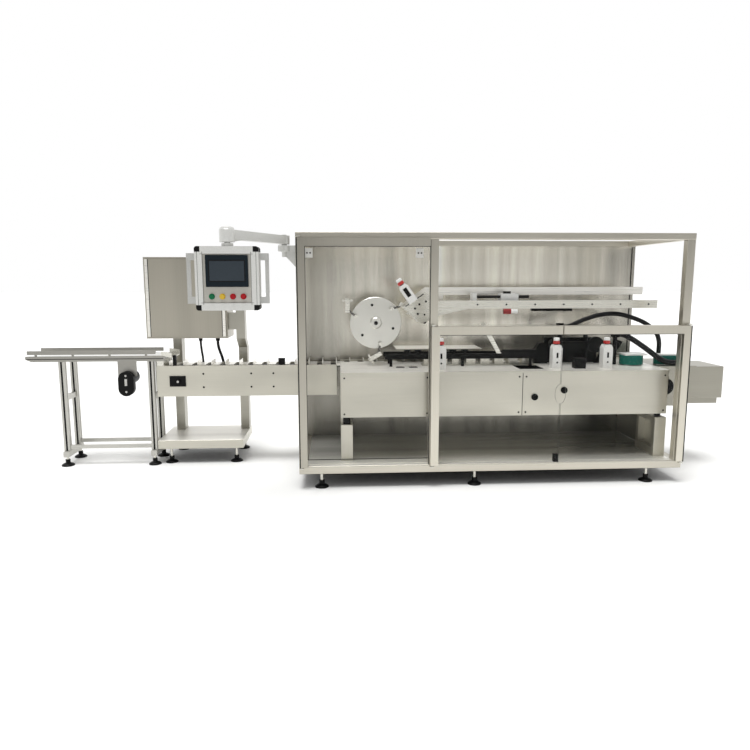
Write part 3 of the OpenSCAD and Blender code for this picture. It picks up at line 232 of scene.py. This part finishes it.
# Finish of each node
FINISH = {
    rail_steel: ["frame_rails", "frame_ties"],
    frame_steel: ["frame_posts", "left_door_frame", "middle_door_frame", "right_door_frame"],
    wall_steel: ["back_wall"],
    rear_steel: ["rear_housing"],
    tray_steel: ["base_tray"],
    sheet_steel: ["bed_housing", "bed_covers", "bed_pillars", "infeed_trough", "stand_base"],
    upright_steel: ["stand_uprights"],
    guard_steel: ["discharge_frame", "discharge_guard"],
    box_steel: ["control_box"],
    bright_steel: ["rotor_bearing", "rotor_arms", "magazine_plates", "magazine_bars", "opening_arm",
                   "door_pivots", "carton_lugs", "transfer_chute"],
    disc_steel: ["rotor_disc"],
    alloy: ["belt_frames"],
    leg_alloy: ["belt_legs"],
    pale_alloy: ["hmi_bracket", "hmi_arm", "hmi_box"],
    handle_alloy: ["hmi_handles"],
    black: ["levelling_feet", "bed_adjusters", "infeed_switch", "belt_drive", "magazine_deck", "carton_rails",
            "hmi_corners", "hose_fittings", "closing_unit", "magazine_roller", "infeed_chain"],
    slate: ["hmi_terminal"],
    rubber: ["hose_arch", "hose_drop", "lead_a", "lead_b"],
    white: ["adjuster_towers", "belt_loop", "magazine_carriage", "side_belt_plates"],
    clip_grey: ["left_door_clips"],
    red: ["adjuster_knobs"],
    green_belt: ["side_belts"],
    button_red: ["hmi_buttons"],
    pane: ["left_door_pane", "middle_door_pane", "right_door_pane"],
}
for finish, names in FINISH.items():
    for name in names:
        nodes[name].data.materials.clear()
        nodes[name].data.materials.append(finish)


def paint(node, material, keep):
    """Gives a second finish to the faces that keep() accepts by their centre and normal."""
    mesh = nodes[node].data
    mesh.materials.append(material)
    index = len(mesh.materials) - 1
    for face in mesh.polygons:
        if keep((face.center + ORIGIN) * MM, face.normal):
            face.material_index = index


def is_top(n):
    return n.z > 0.9


def is_underside(n):
    return n.z < -0.9


# Painted light: the bed's top and the magazine plates' tops are painted paler as lit from above, and the rear
# magazine plate is painted paler than the front one
paint("bed_covers", painted_lit_top, lambda c, n: is_top(n))
REAR_PLATE_Y = 500
paint("magazine_plates", pale_steel, lambda c, n: c.y > REAR_PLATE_Y or is_top(n))

# Dark bolts in the disc and dark rods on the arms
ROTOR_X, ROTOR_Z = 494, 987
DISC_FRONT = 429.9
BOLTS_FROM = 100
RODS_FROM, RODS_TO = 152, 205


def from_rotor(c):
    return math.hypot(c.x - ROTOR_X, c.z - ROTOR_Z)


paint("rotor_disc", dark_steel, lambda c, n: c.y < DISC_FRONT and from_rotor(c) > BOLTS_FROM)
paint("rotor_arms", dark_steel, lambda c, n: RODS_FROM < from_rotor(c) < RODS_TO and abs(n.y) < 0.99)

# Bright studs over the black feet
PAD_TOP = 26
paint("levelling_feet", bright_steel, lambda c, n: c.z > PAD_TOP)

# Panes: the cut edges shine, and the two lower panes meet in a dark line that widens to the finger eye
for name in ("left_door_pane", "middle_door_pane", "right_door_pane"):
    paint(name, pane_edge, lambda c, n: abs(n.y) < 0.5)
EYE_X0, EYE_X1 = 1540, 1660
for name in ("middle_door_pane", "right_door_pane"):
    paint(name, pane_line, lambda c, n: abs(n.y) < 0.5 and EYE_X0 < c.x < EYE_X1)

# Painted light and shade: the tops of the low rails and of the stand's base are painted bright as lit from
# above, and the undersides near the floor are painted dark as shade
LOW_RAIL_Z, NEAR_FLOOR_Z = 200, 120
paint("frame_rails", painted_lit_top, lambda c, n: is_top(n) and c.z < LOW_RAIL_Z)
for name in ("base_tray", "stand_base"):
    paint(name, black, lambda c, n: is_underside(n))
for name in ("frame_rails", "frame_ties"):
    paint(name, dark_steel, lambda c, n: is_underside(n) and c.z < NEAR_FLOOR_Z)
paint("stand_base", painted_lit_top, lambda c, n: is_top(n))

# Buttons from left to right: green, yellow, red, red
yellow_x0 = low("hmi_buttons").x + 40
yellow_x1 = low("hmi_buttons").x + 95
paint("hmi_buttons", button_green, lambda c, n: c.x < yellow_x0)
paint("hmi_buttons", button_yellow, lambda c, n: yellow_x0 < c.x < yellow_x1)

# The panel's recessed face is darker than its rim
face_y = low("hmi_terminal").y + 7
paint("hmi_box", panel_face, lambda c, n: n.y < -0.9 and abs(c.y - face_y) < 2)

# Knobs: white cap over the red band, dark neck; the leaning one stands square to its body
LEAN = 35
LEAN_FOOT = Vector((728, 304, 1130))
LEAN_H, TOWER_H = 128, 151
NECK_FROM, NECK_TO = -1, 5.9
CAP_FROM, CAP_TO = 26.5, 60
lean_way = Vector((-math.sin(math.radians(LEAN)), 0, math.cos(math.radians(LEAN))))
tower_top = low("adjuster_towers").z + TOWER_H


def up_knob(c):
    """Height of a point over the foot of its knob."""
    if c.z > LEAN_FOOT.z + 20:
        return (c - LEAN_FOOT).dot(lean_way) - LEAN_H
    return c.z - tower_top


paint("adjuster_knobs", white, lambda c, n: CAP_FROM < up_knob(c) < CAP_TO)
paint("adjuster_knobs", dark_steel, lambda c, n: NECK_FROM < up_knob(c) < NECK_TO)

# Damper under the magazine: a dark red body and a white end
DAMPER_XS = (1310, 1371.2, 1420)
DAMPER_ZS = (1040, 1100)
for finish, x0, x1 in zip((dark_red, white), DAMPER_XS, DAMPER_XS[1:]):
    paint("adjuster_knobs", finish, lambda c, n: DAMPER_ZS[0] < c.z < DAMPER_ZS[1] and x0 < c.x < x1)

# Pocket in the bed's top: its faces are painted black as the shade inside it
POCKET_LO = (1400, 180, 550)
POCKET_HI = (1565, 385, 695.5)
paint("bed_housing", black, lambda c, n: all(a < v < b for a, v, b in zip(POCKET_LO, c, POCKET_HI)))

# Buckets: the faces above the chain's top are painted pale as lit from above; the rest of the chain is black,
# as painted shade between the buckets
CHAIN_TOP = 678.5
paint("infeed_chain", pale_steel, lambda c, n: c.z > CHAIN_TOP)

# Carriage: dark rods and clip between its white blocks
ROD_X0, ROD_X1, END_ROD_X, CLIP_Z = 1161, 1321, 1439, 1177.5
paint("magazine_carriage", dark_steel,
      lambda c, n: ROD_X0 < c.x < ROD_X1 or c.x > END_ROD_X or c.z > CLIP_Z)

# Routes of the hoses from the bed's right end, lane and top, and of the leads from the infeed's left end,
# back and lead height, with the points of the part's source
BED = (2336, 345, 704)
INFEED = (-995, 790, 604)
ARCH = [(-576, 95, 251), (-546, 95, 251), (-516, 95, 261), (-486, 95, 274), (-451, 95, 290),
        (-411, 95, 305), (-366, 95, 319), (-316, 95, 330), (-266, 95, 336), (-216, 95, 336),
        (-166, 95, 329), (-116, 95, 316), (-66, 95, 299), (-21, 95, 280), (19, 95, 257), (54, 95, 230),
        (80, 95, 199), (95, 95, 164), (101, 95, 128), (101, 95, 92), (101, 95, 60)]
DROP = [(-216, 35, 201), (-191, 35, 201), (-166, 33, 194), (-144, 27, 182), (-122, 17, 168),
        (-100, 5, 152), (-78, -7, 135), (-56, -19, 118), (-34, -29, 100), (-12, -38, 82),
        (10, -46, 64), (32, -53, 48), (55, -58, 35), (80, -62, 26), (107, -64, 22), (134, -65, 21),
        (164, -65, 21)]
LEAD_A = [(251, 70, 232), (251, 70, 214), (252, 70, 196), (254, 70, 176), (256, 70, 156),
          (259, 69, 136), (262, 67, 116), (264, 64, 96), (266, 60, 76), (267, 54, 56), (267, 47, 38),
          (267, 39, 22), (267, 30, 8), (267, 21, 0), (267, 10, 0)]
LEAD_B = [(371, 80, 232), (371, 80, 214), (373, 80, 196), (377, 80, 176), (383, 79, 156),
          (390, 78, 136), (397, 76, 116), (403, 73, 96), (408, 68, 76), (411, 61, 56), (413, 53, 38),
          (414, 44, 22), (415, 35, 10), (415, 24, 2), (415, 12, 2)]


def make_cord(name, radius, start, route):
    points = [at(*(a + b for a, b in zip(start, p))) for p in route]
    data = bpy.data.curves.new(name + "_line", "CURVE")
    data.dimensions = "3D"
    data.bevel_depth = radius / MM
    data.bevel_resolution = 4
    data.resolution_u = 6
    data.use_fill_caps = True
    spline = data.splines.new("BEZIER")
    spline.bezier_points.add(len(points) - 1)
    for knot, point in zip(spline.bezier_points, points):
        knot.co = point
        knot.handle_left_type = knot.handle_right_type = "AUTO"
    piece = bpy.data.objects.new(name + "_line", data)
    bpy.context.scene.collection.objects.link(piece)
    data.materials.append(rubber)
    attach(piece, "machine")
    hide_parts(name)


# Studio: the floor's reach in metres, the light in front at the horizon and above, and one soft sun
FLOOR_REACH = 60
FRONT_LOW, FRONT_HIGH = 0.15, 0.60
SUN_ENERGY = 2.2
SUN_SIZE = 28
SUN_TILT = (10, -6, 0)


def make_world():
    """White behind the object, darker in front of it near the horizon, so that the steel has contrast."""
    world = bpy.data.worlds.new("studio")
    world.use_nodes = True
    tree = world.node_tree
    axes = axes_of(tree, "Generated")
    rise = ranged(tree, axes["Z"], 0.0, 0.8, FRONT_LOW, FRONT_HIGH)
    behind = ranged(tree, axes["Y"], -0.25, 0.25, 0.0, 1.0)
    behind.node.interpolation_type = "SMOOTHSTEP"
    blend = tree.nodes.new("ShaderNodeMix")
    blend.inputs["B"].default_value = 1.0
    tree.links.new(behind, blend.inputs["Factor"])
    tree.links.new(rise, blend.inputs["A"])
    tree.links.new(blend.outputs["Result"], tree.nodes["Background"].inputs["Strength"])
    tree.nodes["Background"].inputs["Color"].default_value = (1, 1, 1, 1)
    return world


def make_studio():
    scene = bpy.context.scene
    scene.view_settings.view_transform = "Standard"
    scene.world = make_world()
    corners = [(x * FLOOR_REACH, y * FLOOR_REACH, 0) for x, y in ((-1, -1), (1, -1), (1, 1), (-1, 1))]
    mesh = bpy.data.meshes.new("floor")
    mesh.from_pydata(corners, [], [(0, 1, 2, 3)])
    floor = bpy.data.objects.new("floor", mesh)
    scene.collection.objects.link(floor)
    mesh.materials.append(plain("floor_white", (0.93, 0.93, 0.92), 0.9))
    data = bpy.data.lights.new("sky", "SUN")
    data.energy = SUN_ENERGY
    data.angle = math.radians(SUN_SIZE)
    lamp = bpy.data.objects.new("sky", data)
    lamp.rotation_euler = [math.radians(turn) for turn in SUN_TILT]
    scene.collection.objects.link(lamp)


make_camera()
make_cord("hose_arch", 15, BED, ARCH)
make_cord("hose_drop", 18, BED, DROP)
make_cord("lead_a", 8, INFEED, LEAD_A)
make_cord("lead_b", 10, INFEED, LEAD_B)
make_studio()

# Thin trim on the solids: how deep it sinks into them, and how far a flat mark stands proud
SUNK = 0.5
PROUD = 0.6


def prisms(name, rings, material, body):
    """Closed prisms in one piece, each between a front and a back ring of points. Seen from outside its
    front, a ring turns to the left."""
    verts = []
    faces = []
    for front, back in rings:
        first = len(verts)
        sides = len(front)
        verts += [at(*p) for p in front + back]
        faces.append([first + i for i in range(sides)])
        for i in range(sides):
            j = (i + 1) % sides
            faces.append([first + i, first + sides + i, first + sides + j, first + j])
        faces.append([first + 2 * sides - 1 - i for i in range(sides)])
    mesh = bpy.data.meshes.new(name)
    mesh.from_pydata(verts, [], faces)
    mesh.materials.append(material)
    piece = bpy.data.objects.new(name, mesh)
    bpy.context.scene.collection.objects.link(piece)
    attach(piece, body)


def circle(radius, sides):
    turns = [2 * math.pi * i / sides for i in range(sides)]
    return [(radius * math.cos(turn), radius * math.sin(turn)) for turn in turns]


def bar(name, a, b, material, body="machine"):
    """A straight bar between two corners."""
    outline = [(a[0], a[2]), (b[0], a[2]), (b[0], b[2]), (a[0], b[2])]
    front = [(x, a[1], z) for x, z in outline]
    back = [(x, b[1], z) for x, z in outline]
    prisms(name, [(front, back)], material, body)


def slant(name, foot, turn, a, b, y, material):
    """A flat mark between corners a and b over a foot point, leaning to the left by turn degrees."""
    sine = math.sin(math.radians(turn))
    cosine = math.cos(math.radians(turn))
    corners = [(a[0], a[1]), (b[0], a[1]), (b[0], b[1]), (a[0], b[1])]
    outline = [(foot[0] + s * cosine - up * sine, foot[1] + s * sine + up * cosine) for s, up in corners]
    front = [(x, y - PROUD, z) for x, z in outline]
    back = [(x, y + SUNK, z) for x, z in outline]
    prisms(name, [(front, back)], material, "machine")


def dots(name, points, radius, depth, material, body="machine", sides=12):
    """Round heads, or holes painted dark as the shade inside them, on faces that look at the operator."""
    ring = circle(radius, sides)
    rings = []
    for x, y, z in points:
        front = [(x + u, y - depth, z + v) for u, v in ring]
        back = [(x + u, y + SUNK, z + v) for u, v in ring]
        rings.append((front, back))
    prisms(name, rings, material, body)


def nuts(name, points, radius, z0, z1, material):
    """Six-sided nuts on upright studs."""
    ring = circle(radius, 6)
    rings = []
    for x, y in points:
        bottom = [(x + u, y - v, z0) for u, v in ring]
        top = [(x + u, y - v, z1) for u, v in ring]
        rings.append((bottom, top))
    prisms(name, rings, material, "machine")


# Screws of the bed's covers, the infeed's side and the front magazine plate, and the hub's bore, painted dark
# as the shade inside it
SEAMS = (257, 818, 1398, 2336)
COVER_Y, INFEED_Y, PLATE_Y, HUB_Y = 96, 600, 326, 404
SCREW_IN, SCREW_H = 22, 2
COVER_ZS = (442, 668)
INFEED_XS, INFEED_ZS = (-681, -356, -204), (539, 632)
PLATE_XS, PLATE_Z = range(1150, 2320, 190), 1109
screw_xs = [x for a, b in zip(SEAMS, SEAMS[1:]) for x in (a + SCREW_IN, b - SCREW_IN)]
dots("cover_screws", [(x, COVER_Y, z) for x in screw_xs for z in COVER_ZS], 6, SCREW_H, dark_steel)
dots("infeed_screws", [(x, INFEED_Y, z) for x in INFEED_XS for z in INFEED_ZS], 7, SCREW_H, dark_steel)
plate_screws = [(x, PLATE_Y, PLATE_Z) for x in PLATE_XS]
plate_screws += [(804, PLATE_Y, 1045), (855, PLATE_Y, 1103)]
dots("plate_screws", plate_screws, 6, SCREW_H, dark_steel)
dots("hub_bore", [(ROTOR_X, HUB_Y, ROTOR_Z)], 13, PROUD, dark_steel, "rotor", 20)

# Slots and holes of the towers, and the slot of the leaning adjuster, painted black as the shade inside them
TOWER_XS = (896, 1645, 1976)
TOWER_Y = 190
SLOT_Z0, SLOT_Z1, HOLE_Z = 772, 806, 743
LEAN_Y = 282
for i, x in enumerate(TOWER_XS):
    bar("tower_slot_%d" % i, (x - 6, TOWER_Y - PROUD, SLOT_Z0), (x + 6, TOWER_Y + SUNK, SLOT_Z1), black)
dots("tower_holes", [(x, TOWER_Y, HOLE_Z) for x in TOWER_XS], 6, PROUD, black)
slant("lean_slot", (LEAN_FOOT.x, LEAN_FOOT.z), LEAN, (-14, 42), (12, 104), LEAN_Y, black)

# The magazine's outlet: screws, and a dark line of painted shade along its slanted edge
outlet_screws = [(742, PLATE_Y, 1085), (770, PLATE_Y, 1112), (760, PLATE_Y, 1050), (812, PLATE_Y, 1130)]
dots("outlet_screws", outlet_screws, 7, SCREW_H, dark_steel)
OUTLET_FOOT, OUTLET_LEAN = (672, 1092), -55.4
slant("outlet_line", OUTLET_FOOT, OUTLET_LEAN, (-3, 10), (3, 150), PLATE_Y, dark_steel)

# Slots in the bed's top beside the lane, painted black as the shade inside them
for i, x in enumerate((620, 705)):
    bar("bed_slot_%d" % i, (x, 290, BED[2] - SUNK), (x + 54, 343, BED[2] + 0.4), black)

# Sheet that closes the right end under the bed, from the pillar to the wall, in the darker guard steel as
# painted shade under the bed
WALL_Y = 796
SHEET_T, SHEET_Z0, SHEET_Z1 = 2, 141, 396
bar("end_sheet", (BED[0] - SHEET_T, BED[1], SHEET_Z0), (BED[0], WALL_Y, SHEET_Z1), guard_steel)

# Dark joints of the bed's covers, and a dark strip at the wall's edge painted as the shade on the rear post's
# face
COVER_Z0, COVER_Z1 = 421, 690
BAY_Z0, BAY_Z1 = 142, 1500
for i, x in enumerate(SEAMS[1:3]):
    bar("cover_joint_%d" % i, (x - 2, COVER_Y - PROUD, COVER_Z0), (x + 2, COVER_Y + SUNK, COVER_Z1),
        dark_steel)
bar("wall_edge_shade", (2372, WALL_Y - 1.2, BAY_Z0), (2380, WALL_Y + SUNK, BAY_Z1), dark_steel)

# Doors: the panes' seals, and dark strips painted as the shade of the gaps beside the doors' outer edges,
# each with its body and its ends along X and Z, and the painted shade of the gap at the middle post
SEALS = [("left_door", 54, 57, 190, 1462), ("left_door", 57, 788, 1459, 1462),
         ("left_door", 57, 788, 190, 193), ("middle_door", 849, 1594, 940, 943),
         ("right_door", 1601, 2346, 940, 943)]
OUTER_GAP_SHADES = [("left_door", 5, 12, 141, 1511), ("right_door", 2388, 2395, 141, 992)]
DOOR_FRONT = -38
for i, (body, x0, x1, z0, z1) in enumerate(SEALS):
    bar("pane_seal_%d" % i, (x0, DOOR_FRONT - 0.5, z0), (x1, DOOR_FRONT + 8, z1), seal_and_gap_shade, body)
for i, (body, x0, x1, z0, z1) in enumerate(OUTER_GAP_SHADES):
    bar("door_edge_shade_%d" % i, (x0, DOOR_FRONT - PROUD, z0), (x1, DOOR_FRONT + SUNK, z1), seal_and_gap_shade, body)
bar("door_gap_0", (791, -2, BAY_Z0), (796, SUNK, BAY_Z1), seal_and_gap_shade)

# Clips: two dark screws each
clip_lo = low("left_door_clips")
clip_hi = high("left_door_clips")
clip_z = (clip_lo.z + clip_hi.z) / 2
clip_xs = [clip_lo.x + 12, clip_lo.x + 30, clip_hi.x - 30, clip_hi.x - 12]
dots("clip_screws", [(x, clip_lo.y, clip_z) for x in clip_xs], 5, 0.8, dark_steel, "left_door")

# Slots of the belt conveyor's profiles, painted dark as the shade inside them
LEG_PLACES = [(x, y) for x in (-1648, -1056) for y in (602, 788)]
LEG_Z0, LEG_Z1 = 104, 720
for i, (x, y) in enumerate(LEG_PLACES):
    bar("leg_slot_%d" % i, (x + 14, y - 0.4, LEG_Z0), (x + 26, y + SUNK, LEG_Z1), black)
bar("belt_slot", (-1852, INFEED_Y - 0.5, 737), (-946, INFEED_Y + SUNK, 742), dark_steel)

# Main switch and drive: pale marks on the black; the drive's marks are painted highlights
DRIVE_X, DRIVE_Y = -1192, 560
dots("switch_mark", [(-850, 576, 582)], 8, PROUD, clip_grey)
bar("drive_highlight", (DRIVE_X - 8, DRIVE_Y - PROUD, 560), (DRIVE_X + 8, DRIVE_Y + SUNK, 606), clip_grey)
dots("drive_highlight_dots", [(DRIVE_X, DRIVE_Y, z) for z in (628, 518)], 7, 0.8, clip_grey)

# Lock nuts on the studs of all the feet: cabinet, stand and conveyor
NUT_R, NUT_Z0, NUT_Z1 = 17, 22, 44
base_lo = low("stand_base")
base_hi = high("stand_base")
feet = [(x, y) for x in (136, 1089.6, 2193) for y in (33, 1045)]
feet += [(x, y) for x in (base_lo.x + 78, base_hi.x - 55) for y in (base_lo.y + 50, base_hi.y - 50)]
feet += [(x, y) for x in (-1628, -1036) for y in (604, 826)]
nuts("foot_nuts", feet, NUT_R, NUT_Z0, NUT_Z1, black)

# Control box: folded edges of its door painted bright as a painted highlight, each with a dark gap beside it
DOOR_IN = Vector((12, 6, 14))
EDGE_W, EDGE_GAP = 20, 5
box_lo = low("control_box") + DOOR_IN
box_hi = high("control_box") - DOOR_IN
edge_xs = (box_lo.x, box_hi.x - EDGE_W)
gap_xs = (box_lo.x + EDGE_W, box_hi.x - EDGE_W - EDGE_GAP)
for i, (edge_x, gap_x) in enumerate(zip(edge_xs, gap_xs)):
    bar("lid_edge_highlight_%d" % i, (edge_x, box_lo.y - 1.2, box_lo.z),
        (edge_x + EDGE_W, box_lo.y + SUNK, box_hi.z), pale_steel)
    bar("lid_gap_%d" % i, (gap_x, box_lo.y - 0.8, box_lo.z),
        (gap_x + EDGE_GAP, box_lo.y + SUNK, box_hi.z), dark_steel)

# Terminal: dark rim round the screen
term_lo = low("hmi_terminal")
term_hi = high("hmi_terminal")
bar("screen_rim", (term_lo.x + 14, term_lo.y - 0.4, term_lo.z + 26),
    (term_hi.x - 14, term_lo.y + 1, term_hi.z - 24), screen_rim, "operator_panel")
bar("screen", (term_lo.x + 20, term_lo.y - 0.8, term_lo.z + 31),
    (term_hi.x - 20, term_lo.y + 1, term_hi.z - 30), screen_grey, "operator_panel")

# Panel: grooves of its rim profile, drawn as dark lines of painted shade
RIM, CORNER, PANEL_H, GROOVE = 40, 28, 323, 2
panel_lo = low("hmi_box")
panel_x1 = high("hmi_box").x
panel_z1 = panel_lo.z + PANEL_H
groove_y = panel_lo.y - 0.4
groove_xs = [panel_lo.x + RIM - GROOVE, panel_x1 - RIM, panel_lo.x + 12, panel_x1 - 14]
groove_zs = [panel_lo.z + RIM - GROOVE, panel_z1 - RIM]
for i, x in enumerate(groove_xs):
    bar("rim_upright_%d" % i, (x, groove_y, panel_lo.z + CORNER),
        (x + GROOVE, panel_lo.y + 1, panel_z1 - CORNER), rim_line, "operator_panel")
for i, z in enumerate(groove_zs):
    bar("rim_level_%d" % i, (panel_lo.x + CORNER, groove_y, z),
        (panel_x1 - CORNER, panel_lo.y + 1, z + GROOVE), rim_line, "operator_panel")
